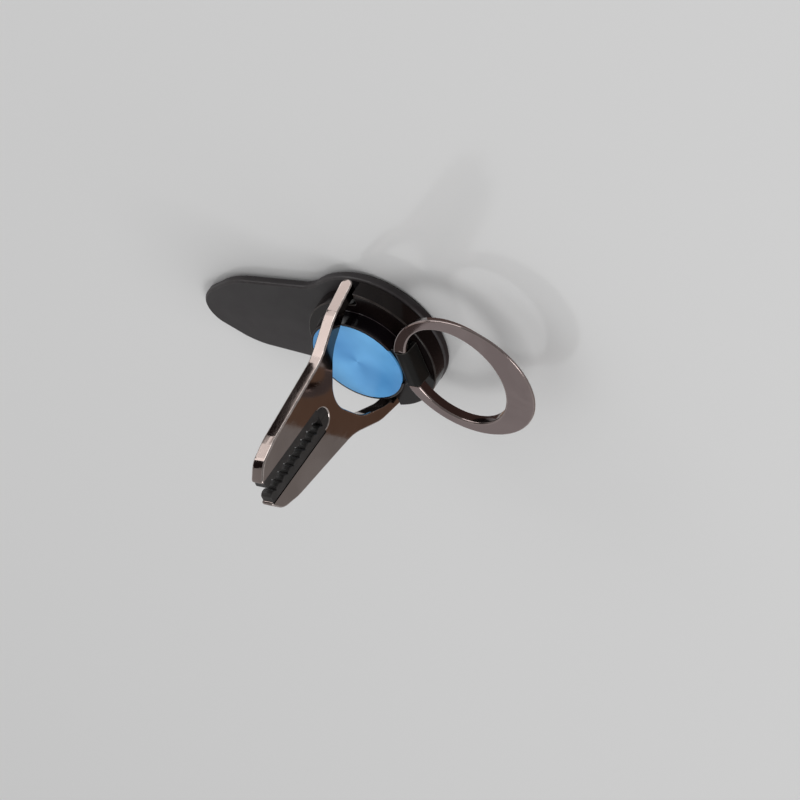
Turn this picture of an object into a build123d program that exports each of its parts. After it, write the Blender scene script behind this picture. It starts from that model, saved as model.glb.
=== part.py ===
from build123d import *
import os
from math import atan2, cos, hypot, pi, radians, sin, tan

# Stick-on phone ring holder, in millimetres.
# Origin: centre of the round base on its adhesive face. +Z leaves the phone's back,
# +X points to the ring's hinge, and the wing runs to -X.

# Adhesive pad and base plate
pad_t = 0.5
pad_inset = 0.7
plate_t = 2.0
base_lip = 0.1
wing_reach = 42.6
wing_root_half = 12.5
wing_nose_len = 9.6
wing_shoulder_half = 9.2
wing_nose_half = 3.2
flare_r = 9.0
shoulder_r = 14.0
nose_fill = 0.95
wing_turn_deg = -2.2
plate_bevel = 0.6
plate_foot_bevel = 0.35

# Swivel joint between plate and turntable
shank_r = 3.0
rivet_head_r = 5.4
rivet_head_t = 0.6
peened_r = 4.6
peened_t = 0.8
head_lift = 0.2
spring_washer_t = 0.3
slip_washer_t = 0.2
slip_washer_inset = 0.9
washer_bore_gap = 0.3
face_gap = 0.03
running_gap = 0.05
counterbore_gap = 0.4

# Turntable
rim_step = 2.9
deck_r = 13.4
turntable_t = 3.77
turntable_floor = 1.5
screw_wall = 0.4
notch_gap = 0.85
notch_r = 0.8
pivot_flat_cut = 0.4
turntable_bevel = 0.3

# Hub cap
hub_r = 10.9
hub_h = 3.7
hub_foot_step = 0.4
hub_foot_h = 0.35
hub_rim_w = 0.45
disc_seat_depth = 0.55
spigot_w = 1.15
hub_roof = 2.2
spigot_h = 0.6
spigot_gap = 0.05
hub_bevel = 0.15

# Accent disc and its tape
disc_t = 0.5
disc_gap = 0.05
disc_bevel = 0.15
tape_t = 0.1
tape_inset = 0.3

# Screws
hub_screw_r = 0.8
hub_screw_head_r = 1.5
hub_screw_head_t = 0.7
hub_screw_bite = 2.2
hub_screw_head_gap = 0.15
hub_screw_angles = (60, 180, 300)
strap_screw_r = 0.7
strap_screw_head_r = 1.3
strap_screw_head_t = 0.6
strap_screw_len = 1.55
strap_screw_in = 3.2
strap_screw_pitch = 4.8

# Ring hinge: strap over a bar in a cradle
bar_from_hub = 1.2
bar_below_hub = 1.45
bar_r = 0.75
strap_t = 1.0
strap_w = 9.4
strap_tail_len = 7.75
strap_rise_back = 1.35
strap_rise_run = 0.65
strap_corner_x = 0.85
strap_corner_z = 0.55
strap_splay = 0.5
strap_foot_gap = 0.1
strap_fit = 0.05
cradle_side_step = 0.1
cradle_drop = 0.45

# Finger ring, opened flat
ring_r = 16.1
ring_back = 2.0
ring_t = 2.4
ring_face_lift = 1.65
hole_gap = 0.85
ring_front_w = 6.85
ring_side_w = 2.9
hole_end_step = 1.35
ring_side_gap = 0.15
ring_bevel = 0.35
ring_edge_t = 0.5
ring_front_flare = 4.2
ring_side_flare = 1.4
ring_back_flare = 0.2

# Clip: forked frame on two pins
clip_axis_x = 0.3
clip_clear = 0.75
clip_t = 2.9
slot_len = 24.6
clip_open_deg = 88
arm_w = 3.3
knee_in = 2.0
knee_drop = 4.3
waist_w = 1.3
waist_rise = 4.0
prong_w = 5.35
prong_back = 8.1
cheek_w = 3.85
cheek_back = 3.0
knee_r = 10.0
waist_r = 12.0
prong_r = 14.0
cheek_r = 4.0
prong_tip_r = 0.6
yoke_gap = 0.5
yoke_spring = 3.6
haunch_in = 4.5
haunch_drop = 2.1
peak_rise = 3.9
yoke_bend_r = 8.0
yoke_peak_r = 6.4
slot_half = 2.65
bridge_w = 2.2
clip_bevel = 0.35
pin_r = 1.0
pin_gap = 0.04
pin_seat = 3.8
pin_wall = 0.8
pin_end_gap = 0.1
clip_washer_r = 1.7
clip_washer_gap = 0.03

# Ribbed grip pads in the fork
rib_count = 9
rib_height = 1.8
rib_fill = 0.54
pad_base_t = 0.6
pad_face_step = 0.12
pad_lip = 1.0
pad_end_gap = 0.05

# Levels worked out from the stack
plate_z = pad_t
plate_top = plate_z + plate_t
head_top = plate_z + head_lift + rivet_head_t
counterbore_top = head_top + spring_washer_t + 2 * face_gap
turntable_z = plate_top + slip_washer_t + face_gap
turntable_top = turntable_z + turntable_t
floor_top = turntable_z + turntable_floor
hub_top = turntable_top + hub_h
disc_seat_z = hub_top - disc_seat_depth
disc_seat_r = hub_r - hub_rim_w
tail_z = disc_seat_z - strap_t / 2
rim_r = deck_r + rim_step
base_r = rim_r + base_lip
wing_shoulder = wing_reach - wing_nose_len
hub_foot_r = hub_r + hub_foot_step
hub_screw_circle = disc_seat_r - hub_screw_head_r - hub_screw_head_gap
cavity_r = hub_screw_circle - hub_screw_r - screw_wall
hub_core_r = cavity_r - spigot_gap - spigot_w
slip_washer_r = deck_r - slip_washer_inset
pivot_flat = deck_r - pivot_flat_cut

# Ring hinge and ring, placed from the hub's edge
ring_axis_x = hub_r + bar_from_hub
ring_axis_z = hub_top - bar_below_hub
ring_top = ring_axis_z + ring_face_lift
ring_centre_x = ring_axis_x + ring_r - ring_back
hole_half_x = ring_r - (ring_back + hole_gap + ring_front_w) / 2
hole_half_y = ring_r - ring_side_w
hole_end_r = hole_half_x - hole_end_step
hole_end_y = hole_half_y - hole_end_r
hole_side_r = (hole_half_x**2 + hole_end_y**2 - hole_end_r**2) / (2 * hole_end_step)
hole_centre_x = ring_axis_x + hole_gap + hole_half_x
ring_under_x = ring_centre_x - (ring_front_flare - ring_back_flare) / 2
ring_under_half_x = ring_r - (ring_front_flare + ring_back_flare) / 2
ring_under_half_y = ring_r - ring_side_flare
strap_rise_x = ring_axis_x - strap_rise_back
strap_tail_x = strap_rise_x - strap_tail_len
strap_screw_x = strap_tail_x + strap_screw_in
cradle_w = strap_w - 2 * cradle_side_step

# Clip, placed from the turntable's deck; w is half-width and s is length from the pins
clip_axis_z = plate_top + clip_clear + clip_t / 2
notch_x = clip_axis_x + clip_t / 2 + notch_gap
yoke_r = deck_r + yoke_gap
eye_half = yoke_r + arm_w
haunch_half = yoke_r - haunch_in
haunch_reach = yoke_r - haunch_drop
yoke_peak = yoke_r + peak_rise
knee_half = eye_half - knee_in
knee_reach = haunch_reach - knee_drop
waist_half = haunch_half + waist_w
waist_reach = haunch_reach + waist_rise
slot_apex = yoke_peak + bridge_w
clip_len = slot_apex + slot_len
prong_half = slot_half + prong_w
prong_reach = clip_len - prong_back
cheek_half = slot_half + cheek_w
cheek_reach = clip_len - cheek_back

# Cutters run past the faces they open
far = 4 * (wing_reach + ring_r)
over = 1.0
near = 0.001


def disc(radius, z0, z1, x=0, y=0):
    return Pos(x, y, (z0 + z1) / 2) * Cylinder(radius, z1 - z0)


def washer(outer, inner, z0, z1):
    return disc(outer, z0, z1) - disc(inner, z0 - over, z1 + over)


def rod_y(radius, y0, y1, x, z):
    return Pos(x, (y0 + y1) / 2, z) * Rot(90, 0, 0) * Cylinder(radius, abs(y1 - y0))


def block(x0, x1, half_y, z0, z1):
    return Pos((x0 + x1) / 2, 0, (z0 + z1) / 2) * Box(x1 - x0, 2 * half_y, z1 - z0)


def screw(x, y, top, head_r, head_t, shank, length):
    head = Pos(x, y, top - head_t / 2) * Cone(shank, head_r, head_t)
    return head + disc(shank, top - length, top - head_t / 2, x, y)


def base_outline():
    nose_turn = atan2(wing_shoulder_half - wing_nose_half, wing_reach - wing_shoulder)
    nose_r = nose_fill * wing_nose_half / tan((pi / 2 - nose_turn) / 2)
    corners = [(0, wing_root_half), (-wing_shoulder, wing_shoulder_half), (-wing_reach, wing_nose_half)]
    mirrored = [(x, -y) for x, y in reversed(corners)]
    wing = make_face(Polyline(*corners, *mirrored, close=True))
    nose = [v for v in wing.vertices() if v.X < -wing_reach + near]
    wing = fillet(nose, nose_r)
    shoulders = [v for v in wing.vertices() if abs(v.X + wing_shoulder) < near]
    wing = fillet(shoulders, shoulder_r)
    outline = Sketch() + [Circle(base_r), wing]
    joins = [v for v in outline.vertices() if v.X < 0 and abs(hypot(v.X, v.Y) - base_r) < near]
    return Rot(0, 0, wing_turn_deg) * fillet(joins, flare_r)


def base_plate(outline):
    plate = extrude(Pos(0, 0, plate_z) * outline, plate_t)
    plate = chamfer(plate.edges().group_by(Axis.Z)[-1], plate_bevel)
    plate = chamfer(plate.edges().group_by(Axis.Z)[0], plate_foot_bevel)
    plate -= disc(rivet_head_r + counterbore_gap, plate_z - over, counterbore_top)
    return plate - disc(shank_r + running_gap, plate_z, plate_top + over)


def adhesive_pad(outline):
    return extrude(offset(outline, -pad_inset), pad_t)


def pivot_rivet():
    rivet = disc(rivet_head_r, plate_z + head_lift, head_top)
    rivet += disc(shank_r, head_top, floor_top)
    return rivet + disc(peened_r, floor_top, floor_top + peened_t)


def hub_screw_places():
    turns = [radians(angle) for angle in hub_screw_angles]
    return [(hub_screw_circle * cos(turn), hub_screw_circle * sin(turn)) for turn in turns]


def turntable():
    wide = Circle(rim_r) & Pos(notch_x + rim_r, 0) * Rectangle(2 * rim_r, 4 * rim_r)
    deck = Circle(deck_r) & Rectangle(4 * deck_r, 2 * pivot_flat)
    plan = Sketch() + [deck, wide]
    body = extrude(Pos(0, 0, turntable_z) * plan, turntable_t)
    corners = body.edges().filter_by(Axis.Z).filter_by(lambda e: abs(e.center().X - notch_x) < near)
    body = fillet(corners, notch_r)
    body = chamfer(body.edges().group_by(Axis.Z)[-1], turntable_bevel)
    body -= disc(shank_r, turntable_z - over, floor_top + over)
    body -= disc(cavity_r, floor_top, turntable_top + over)
    for side in (1, -1):
        body -= rod_y(pin_r, side * (pivot_flat - pin_seat), side * (rim_r + over), clip_axis_x, clip_axis_z)
    for x, y in hub_screw_places():
        body -= disc(hub_screw_r, turntable_top - hub_screw_bite, turntable_top + over, x, y)
    return body


def hub_cap():
    body = disc(hub_r, turntable_top, hub_top) + disc(hub_foot_r, turntable_top, turntable_top + hub_foot_h)
    body = chamfer(body.edges().group_by(Axis.Z)[-1], hub_bevel)
    body += disc(cavity_r - spigot_gap, turntable_top - spigot_h, turntable_top)
    strap_inner = ring_axis_x + bar_r + strap_fit
    body += block(hub_r / 2, strap_inner, cradle_w / 2, turntable_top, ring_axis_z - cradle_drop)
    body -= rod_y(bar_r + running_gap, -cradle_w, cradle_w, ring_axis_x, ring_axis_z)
    body -= disc(disc_seat_r, disc_seat_z, hub_top + over)
    body -= disc(hub_core_r, turntable_top - spigot_h - over, hub_top - hub_roof)
    slot_end = strap_rise_x + strap_rise_run
    body -= block(strap_tail_x, slot_end, strap_w / 2 + strap_fit, disc_seat_z - strap_t, hub_top + over)
    for x, y in hub_screw_places():
        body -= screw(x, y, disc_seat_z, hub_screw_head_r, hub_screw_head_t, hub_screw_r, hub_h + spigot_h)
    for x, y in strap_screw_places():
        body -= disc(strap_screw_r, disc_seat_z - strap_screw_len, hub_top, x, y)
    return body


def hub_screws():
    length = disc_seat_z - turntable_top + hub_screw_bite
    return [
        screw(x, y, disc_seat_z, hub_screw_head_r, hub_screw_head_t, hub_screw_r, length)
        for x, y in hub_screw_places()
    ]


def strap_screw_places():
    return [(strap_screw_x, side * strap_screw_pitch / 2) for side in (1, -1)]


def hinge_strap():
    over_z = ring_axis_z + bar_r + strap_fit + strap_t / 2
    leg_x = ring_axis_x + bar_r + strap_fit + strap_t / 2
    foot_z = turntable_top + strap_foot_gap
    middle = Polyline(
        (strap_tail_x, tail_z),
        (strap_rise_x, tail_z),
        (strap_rise_x + strap_rise_run, over_z),
        (ring_axis_x + strap_corner_x, over_z),
        (leg_x, over_z - strap_corner_z),
        (leg_x + strap_splay, foot_z),
    )
    sheet = extrude(Plane.XZ * trace(middle, strap_t), strap_w / 2, both=True)
    for x, y in strap_screw_places():
        sheet -= screw(x, y, disc_seat_z, strap_screw_head_r, strap_screw_head_t, strap_screw_r, 2 * strap_t)
    return sheet


def strap_screws():
    return [
        screw(x, y, disc_seat_z, strap_screw_head_r, strap_screw_head_t, strap_screw_r, strap_screw_len)
        for x, y in strap_screw_places()
    ]


def accent_disc():
    body = disc(disc_seat_r - disc_gap, disc_seat_z + tape_t, disc_seat_z + tape_t + disc_t)
    return chamfer(body.edges().group_by(Axis.Z)[-1], disc_bevel)


def finger_ring():
    bar_half = strap_w / 2 + ring_side_gap
    hinge_gap = Pos(ring_axis_x, 0) * Rectangle(2 * hole_half_x, 2 * bar_half)
    side = Circle(hole_side_r)
    lens = Pos(hole_half_x - hole_side_r, 0) * side & Pos(hole_side_r - hole_half_x, 0) * side
    hole = fillet(lens.vertices(), hole_end_r)
    under = Pos(ring_under_x, 0, ring_top - ring_t) * Ellipse(ring_under_half_x, ring_under_half_y)
    edge = Pos(ring_centre_x, 0, ring_top - ring_edge_t) * Circle(ring_r)
    face = Pos(ring_centre_x, 0, ring_top) * Circle(ring_r)
    ring = loft([under, edge, face], ruled=True)
    openings = Sketch() + [Pos(hole_centre_x, 0) * hole, hinge_gap]
    ring -= extrude(Pos(0, 0, ring_top - ring_t - over) * openings, ring_t + 2 * over)
    ring = chamfer(ring.edges().group_by(Axis.Z)[-1].filter_by(GeomType.LINE, reverse=True), ring_bevel)
    return ring + rod_y(bar_r, -bar_half - bar_r, bar_half + bar_r, ring_axis_x, ring_axis_z)


def mirrored_face(side):
    other = [(-w, s) for w, s in reversed(side) if w > 0]
    return make_face(Polyline(*side, *other, close=True))


def round_corners(face, corner, radius):
    w, s = corner
    pair = [v for v in face.vertices() if abs(abs(v.X) - w) < near and abs(v.Y - s) < near]
    return fillet(pair, radius)


def fork_outline():
    end_slope = (clip_len - cheek_reach) / (cheek_half - slot_half)
    knee = (knee_half, knee_reach)
    waist = (waist_half, waist_reach)
    prong = (prong_half, prong_reach)
    cheek = (cheek_half, cheek_reach)
    middle_half = slot_half / 2
    middle = (middle_half, clip_len + end_slope * (slot_half - middle_half))
    fork = mirrored_face([(eye_half, -clip_t / 2), knee, waist, prong, cheek, middle])
    for corner, radius in ((knee, knee_r), (waist, waist_r), (prong, prong_r), (cheek, cheek_r)):
        fork = round_corners(fork, corner, radius)
    spring = (yoke_r, yoke_spring)
    haunch = (haunch_half, haunch_reach)
    peak = (0, yoke_peak)
    yoke = mirrored_face([(yoke_r, -clip_len), spring, haunch, peak])
    for corner, radius in ((spring, yoke_bend_r), (haunch, yoke_bend_r), (peak, yoke_peak_r)):
        yoke = round_corners(yoke, corner, radius)
    slot_round = slot_apex + slot_half
    slot = Pos(0, slot_round) * Circle(slot_half)
    slot += Pos(0, slot_round + clip_len / 2) * Rectangle(2 * slot_half, clip_len)
    return round_corners(fork - yoke - slot, (slot_half, clip_len), prong_tip_r)


def pad_span():
    return slot_apex + slot_half, clip_len - pad_lip


def lean(piece):
    upright = Pos(clip_axis_x, 0, clip_axis_z)
    return upright * Rot(0, clip_open_deg - 90, 0) * piece


def clip_frame():
    start, end = pad_span()
    frame = extrude(Plane.YZ * fork_outline(), clip_t / 2, both=True)
    face_edges = frame.edges().filter_by(lambda e: abs(abs(e.center().X) - clip_t / 2) < near)
    frame = chamfer(face_edges.filter_by(lambda e: e.center().Z > -clip_t / 2 + near), clip_bevel)
    eyes = rod_y(clip_t / 2, -far, far, 0, 0)
    frame = frame & (eyes + Pos(0, 0, clip_len) * Box(clip_t, far, 2 * clip_len))
    for side in (1, -1):
        seat = Box(2 * clip_t, 2 * pad_base_t, end - start)
        frame -= Pos(0, side * slot_half, (start + end) / 2) * seat
        frame -= rod_y(pin_r + pin_gap, side * (yoke_r - over), side * (eye_half - pin_wall), 0, 0)
    return lean(frame)


def grip_pad(side):
    start, end = pad_span()
    start += pad_end_gap
    end -= pad_end_gap
    pitch = (end - start) / rib_count
    rib_r = rib_fill * pitch
    rib_line = slot_half - rib_height + rib_r
    foot = slot_half + pad_base_t
    middle = (start + end) / 2
    strip = Pos((rib_line + foot) / 2, middle) * Rectangle(foot - rib_line, end - start)
    ribs = Sketch() + [
        Pos(rib_line, start + (i + 0.5) * pitch) * Circle(rib_r) for i in range(rib_count)
    ]
    limit = Pos(foot - clip_len / 2, middle) * Rectangle(clip_len, end - start)
    profile = strip + (ribs & limit)
    pad = extrude(Plane.YZ * profile, clip_t / 2 - pad_face_step, both=True)
    if side < 0:
        pad = mirror(pad, Plane.XZ)
    return lean(pad)


def clip_pin(side):
    inner = pivot_flat - pin_seat
    outer = eye_half - pin_wall - pin_end_gap
    return rod_y(pin_r, side * inner, side * outer, clip_axis_x, clip_axis_z)


def clip_washer(side):
    inner = pivot_flat + clip_washer_gap
    outer = yoke_r - clip_washer_gap
    ring = rod_y(clip_washer_r, side * inner, side * outer, clip_axis_x, clip_axis_z)
    return ring - rod_y(pin_r, side * (inner - over), side * (outer + over), clip_axis_x, clip_axis_z)


def all_pieces():
    outline = base_outline()
    washer_bore = shank_r + washer_bore_gap
    spring_z = head_top + face_gap
    return {
        "adhesive_pad": adhesive_pad(outline),
        "base_plate": base_plate(outline),
        "spring_washer": washer(rivet_head_r, washer_bore, spring_z, spring_z + spring_washer_t),
        "slip_washer": washer(slip_washer_r, washer_bore, plate_top, plate_top + slip_washer_t),
        "pivot_rivet": pivot_rivet(),
        "turntable": turntable(),
        "hub_cap": hub_cap(),
        "hub_screws": Compound(children=hub_screws()),
        "hinge_strap": hinge_strap(),
        "strap_screws": Compound(children=strap_screws()),
        "disc_tape": disc(disc_seat_r - tape_inset, disc_seat_z, disc_seat_z + tape_t),
        "accent_disc": accent_disc(),
        "finger_ring": finger_ring(),
        "clip_frame": clip_frame(),
        "grip_pad_upper": grip_pad(1),
        "grip_pad_lower": grip_pad(-1),
        "clip_pin_upper": clip_pin(1),
        "clip_pin_lower": clip_pin(-1),
        "clip_washer_upper": clip_washer(1),
        "clip_washer_lower": clip_washer(-1),
    }


os.makedirs("parts", exist_ok=True)
for name, piece in all_pieces().items():
    export_step(piece, f"parts/{name}.step")
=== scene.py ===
import math

import bmesh
import bpy
from mathutils import Matrix, Vector


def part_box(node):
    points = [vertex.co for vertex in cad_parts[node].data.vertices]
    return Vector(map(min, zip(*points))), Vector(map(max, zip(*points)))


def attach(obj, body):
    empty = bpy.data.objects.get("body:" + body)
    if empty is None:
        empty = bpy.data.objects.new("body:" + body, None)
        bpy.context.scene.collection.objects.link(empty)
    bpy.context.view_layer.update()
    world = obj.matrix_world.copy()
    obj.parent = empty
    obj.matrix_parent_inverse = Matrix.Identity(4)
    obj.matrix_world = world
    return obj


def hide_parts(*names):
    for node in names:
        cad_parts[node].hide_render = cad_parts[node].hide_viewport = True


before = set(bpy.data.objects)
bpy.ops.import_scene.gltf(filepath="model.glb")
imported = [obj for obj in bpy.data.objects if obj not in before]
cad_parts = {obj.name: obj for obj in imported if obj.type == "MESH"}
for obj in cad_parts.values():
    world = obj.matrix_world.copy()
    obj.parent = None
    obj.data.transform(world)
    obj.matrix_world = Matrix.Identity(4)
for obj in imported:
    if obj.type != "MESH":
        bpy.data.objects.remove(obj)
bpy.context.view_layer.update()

mm = 0.001
weldGap = 0.001 * mm
edgeMarkName = "wearAndHighlightMark"
print("frame loaded,", len(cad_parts), "nodes")


# small modelling helpers, all lengths in millimetres

def newBody():
    bm = bmesh.new()
    bm.faces.layers.float.new(edgeMarkName)
    return bm


def point(x, y, z=0.0):
    return Vector((x, y, z)) * mm


def cornerRun(bm, corners):
    return [bm.verts.new(point(*corner)) for corner in corners]


def arcRun(bm, centre, start, degrees, steps):
    # one vertex spun round a centre leaves a row of vertices
    first = bm.verts.new(point(*start))
    bmesh.ops.spin(bm, geom=[first], cent=point(*centre), axis=(0, 0, 1), angle=math.radians(degrees),
                   steps=steps, use_merge=False, use_duplicate=False)
    bm.verts.ensure_lookup_table()
    return list(bm.verts)[-steps - 1:]


def roundCorner(bm, corner, radius, steps=10):
    # rounds one corner of a flat outline
    place = point(*corner)
    vert = min(bm.verts, key=lambda v: (v.co - place).length)
    sides = [(edge.other_vert(vert).co - vert.co).normalized() for edge in vert.link_edges]
    turn = math.pi - sides[0].angle(sides[1])
    bmesh.ops.bevel(bm, geom=[vert], offset=radius * mm * math.tan(turn / 2), offset_type="ABSOLUTE",
                    segments=steps, profile=0.5, affect="VERTICES", material=-1)


def mirrorHalf(bm):
    # the other half across Y, joined into one flat face
    bmesh.ops.mirror(bm, geom=bm.verts[:] + bm.edges[:] + bm.faces[:], axis="Y", merge_dist=weldGap)
    middle = [edge for edge in bm.edges if len(edge.link_faces) == 2]
    bmesh.ops.dissolve_edges(bm, edges=middle, use_verts=False)


def thicken(bm, height):
    # raises a flat outline into a closed body
    lifted = bmesh.ops.extrude_face_region(bm, geom=bm.faces[:])
    verts = [part for part in lifted["geom"] if isinstance(part, bmesh.types.BMVert)]
    bmesh.ops.translate(bm, verts=verts, vec=(0, 0, height * mm))
    bmesh.ops.recalc_face_normals(bm, faces=bm.faces[:])


def sharpEdges(bm, test=None, least=35):
    limit = math.radians(least)
    found = [edge for edge in bm.edges if len(edge.link_faces) == 2 and edge.calc_face_angle() > limit]
    return [edge for edge in found if test is None or test((edge.verts[0].co + edge.verts[1].co) / (2 * mm))]


def softenEdges(bm, edges, width, steps=3):
    made = bmesh.ops.bevel(bm, geom=edges, offset=width * mm, offset_type="OFFSET", segments=steps,
                           profile=0.5, affect="EDGES", material=-1, clamp_overlap=False)
    # bevel faces are marked for the paler edge tint: partly wear, partly a painted edge highlight
    paleEdge = bm.faces.layers.float[edgeMarkName]
    for face in made["faces"]:
        face[paleEdge] = 1.0


def level(z, slack=0.02):
    return lambda middle: abs(middle.z - z) < slack


def acrossX(edge):
    return abs(edge.verts[0].co.x - edge.verts[1].co.x) / mm


# turns an upright rod to lie along Y
alongY = Matrix.Rotation(math.pi / 2, 3, "X")


def rod(radius, length, middle, turn=None, steps=48):
    bm = newBody()
    bmesh.ops.create_cone(bm, cap_ends=True, segments=steps, radius1=radius * mm, radius2=radius * mm,
                          depth=length * mm)
    if turn is not None:
        bmesh.ops.rotate(bm, verts=bm.verts[:], cent=(0, 0, 0), matrix=turn)
    bmesh.ops.translate(bm, verts=bm.verts[:], vec=point(*middle))
    return bm


def brick(low, high):
    bm = newBody()
    bmesh.ops.create_cube(bm, size=1.0)
    size = Vector(high) - Vector(low)
    bmesh.ops.scale(bm, verts=bm.verts[:], vec=size * mm)
    bmesh.ops.translate(bm, verts=bm.verts[:], vec=(Vector(high) + Vector(low)) * mm / 2)
    return bm


def looseObject(bm, name):
    mesh = bpy.data.meshes.new(name)
    bm.to_mesh(mesh)
    bm.free()
    obj = bpy.data.objects.new(name, mesh)
    bpy.context.scene.collection.objects.link(obj)
    return obj


def cutAway(bm, tools, operation="DIFFERENCE"):
    # takes closed shapes out of a body, or joins them to it
    body = looseObject(bm, "cutBody")
    cutters = [looseObject(tool, "cutter") for tool in tools]
    for cutter in cutters:
        cut = body.modifiers.new("cut", "BOOLEAN")
        cut.object = cutter
        cut.operation = operation
        cut.solver = "EXACT"
        cut.use_self = operation == "UNION"
    bpy.context.view_layer.update()
    result = bmesh.new()
    result.from_object(body, bpy.context.evaluated_depsgraph_get())
    for spare in [body] + cutters:
        mesh = spare.data
        bpy.data.objects.remove(spare)
        bpy.data.meshes.remove(mesh)
    return result


def finishPiece(bm, name, node, body, material, sharp=38):
    bmesh.ops.remove_doubles(bm, verts=bm.verts[:], dist=weldGap / 2)
    bmesh.ops.recalc_face_normals(bm, faces=bm.faces[:])
    obj = looseObject(bm, name)
    obj.data.shade_smooth()
    obj.data.set_sharp_from_angle(angle=math.radians(sharp))
    obj.data.materials.append(material)
    normals = obj.modifiers.new("faceNormals", "WEIGHTED_NORMAL")
    normals.keep_sharp = True
    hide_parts(node)
    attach(obj, body)
    print("made", name, len(obj.data.polygons), "faces")
    return obj


# shared shader groups

def startGroup(name, inputs, outputs):
    tree = bpy.data.node_groups.new(name, "ShaderNodeTree")
    for title, kind, value in inputs:
        socket = tree.interface.new_socket(title, in_out="INPUT", socket_type=kind)
        socket.default_value = value
    for title, kind in outputs:
        tree.interface.new_socket(title, in_out="OUTPUT", socket_type=kind)
    return tree, tree.nodes.new("NodeGroupInput"), tree.nodes.new("NodeGroupOutput")


def addNode(tree, kind, settings=None, values=None):
    node = tree.nodes.new(kind)
    for key, value in (settings or {}).items():
        setattr(node, key, value)
    for key, value in (values or {}).items():
        node.inputs[key].default_value = value
    return node


def mixColour(tree, factor, first, second):
    mix = addNode(tree, "ShaderNodeMix", {"data_type": "RGBA"})
    tree.links.new(factor, mix.inputs[0])
    for source, place in ((first, 6), (second, 7)):
        if hasattr(source, "links"):
            tree.links.new(source, mix.inputs[place])
        else:
            mix.inputs[place].default_value = source
    return mix.outputs[2]


def makeCloudGroup():
    # slow change of tone over a surface
    tree, start, end = startGroup("toneClouds", [
        ("Light", "NodeSocketColor", (0.5, 0.5, 0.5, 1)), ("Dark", "NodeSocketColor", (0.4, 0.4, 0.4, 1)),
        ("Scale", "NodeSocketFloat", 90.0)], [("Color", "NodeSocketColor"), ("Mask", "NodeSocketFloat")])
    coords = addNode(tree, "ShaderNodeTexCoord")
    noise = addNode(tree, "ShaderNodeTexNoise", values={"Detail": 3.0, "Roughness": 0.5, "Distortion": 0.6})
    spread = addNode(tree, "ShaderNodeMapRange", {"interpolation_type": "SMOOTHSTEP"},
                     {"From Min": 0.32, "From Max": 0.68})
    tree.links.new(coords.outputs["Object"], noise.inputs["Vector"])
    tree.links.new(start.outputs["Scale"], noise.inputs["Scale"])
    tree.links.new(noise.outputs["Fac"], spread.inputs["Value"])
    colour = mixColour(tree, spread.outputs["Result"], start.outputs["Light"], start.outputs["Dark"])
    tree.links.new(colour, end.inputs["Color"])
    tree.links.new(spread.outputs["Result"], end.inputs["Mask"])
    return tree


def makeHairlineGroup():
    # fine rub marks: a stretched noise gives roughness and a slight height
    tree, start, end = startGroup("hairlines", [
        ("Stretch", "NodeSocketVector", (1, 1, 1)), ("Scale", "NodeSocketFloat", 900.0),
        ("Smooth", "NodeSocketFloat", 0.06), ("Rubbed", "NodeSocketFloat", 0.16)],
        [("Roughness", "NodeSocketFloat"), ("Height", "NodeSocketFloat")])
    coords = addNode(tree, "ShaderNodeTexCoord")
    stretch = addNode(tree, "ShaderNodeVectorMath", {"operation": "MULTIPLY"})
    lines = addNode(tree, "ShaderNodeTexNoise", values={"Detail": 4.0, "Roughness": 0.6})
    smudge = addNode(tree, "ShaderNodeTexNoise", values={"Scale": 160.0, "Detail": 2.0})
    blend = addNode(tree, "ShaderNodeMath", {"operation": "MULTIPLY"})
    spread = addNode(tree, "ShaderNodeMapRange", values={"From Min": 0.12, "From Max": 0.4})
    tree.links.new(coords.outputs["Object"], stretch.inputs[0])
    tree.links.new(start.outputs["Stretch"], stretch.inputs[1])
    tree.links.new(stretch.outputs[0], lines.inputs["Vector"])
    tree.links.new(start.outputs["Scale"], lines.inputs["Scale"])
    tree.links.new(coords.outputs["Object"], smudge.inputs["Vector"])
    tree.links.new(lines.outputs["Fac"], blend.inputs[0])
    tree.links.new(smudge.outputs["Fac"], blend.inputs[1])
    tree.links.new(blend.outputs[0], spread.inputs["Value"])
    tree.links.new(start.outputs["Smooth"], spread.inputs["To Min"])
    tree.links.new(start.outputs["Rubbed"], spread.inputs["To Max"])
    tree.links.new(spread.outputs["Result"], end.inputs["Roughness"])
    tree.links.new(lines.outputs["Fac"], end.inputs["Height"])
    return tree


def makeWearAndHighlightGroup():
    # rounded edges painted paler: partly rub wear, partly a painted edge highlight
    tree, start, end = startGroup("wearAndHighlightEdges", [
        ("Color", "NodeSocketColor", (0.5, 0.5, 0.5, 1)), ("Rubbed", "NodeSocketColor", (0.7, 0.7, 0.7, 1)),
        ("Amount", "NodeSocketFloat", 0.5), ("Scale", "NodeSocketFloat", 700.0)],
        [("Color", "NodeSocketColor"), ("Mask", "NodeSocketFloat")])
    mark = addNode(tree, "ShaderNodeAttribute", {"attribute_name": edgeMarkName})
    coords = addNode(tree, "ShaderNodeTexCoord")
    noise = addNode(tree, "ShaderNodeTexNoise", values={"Detail": 4.0})
    spread = addNode(tree, "ShaderNodeMapRange", values={"From Min": 0.35, "From Max": 0.65, "To Min": 0.35})
    paleEdge = addNode(tree, "ShaderNodeMath", {"operation": "MULTIPLY"})
    share = addNode(tree, "ShaderNodeMath", {"operation": "MULTIPLY"})
    tree.links.new(coords.outputs["Object"], noise.inputs["Vector"])
    tree.links.new(start.outputs["Scale"], noise.inputs["Scale"])
    tree.links.new(noise.outputs["Fac"], spread.inputs["Value"])
    tree.links.new(mark.outputs["Fac"], paleEdge.inputs[0])
    tree.links.new(spread.outputs["Result"], paleEdge.inputs[1])
    tree.links.new(paleEdge.outputs[0], share.inputs[0])
    tree.links.new(start.outputs["Amount"], share.inputs[1])
    colour = mixColour(tree, share.outputs[0], start.outputs["Color"], start.outputs["Rubbed"])
    tree.links.new(colour, end.inputs["Color"])
    tree.links.new(share.outputs[0], end.inputs["Mask"])
    return tree


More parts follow.
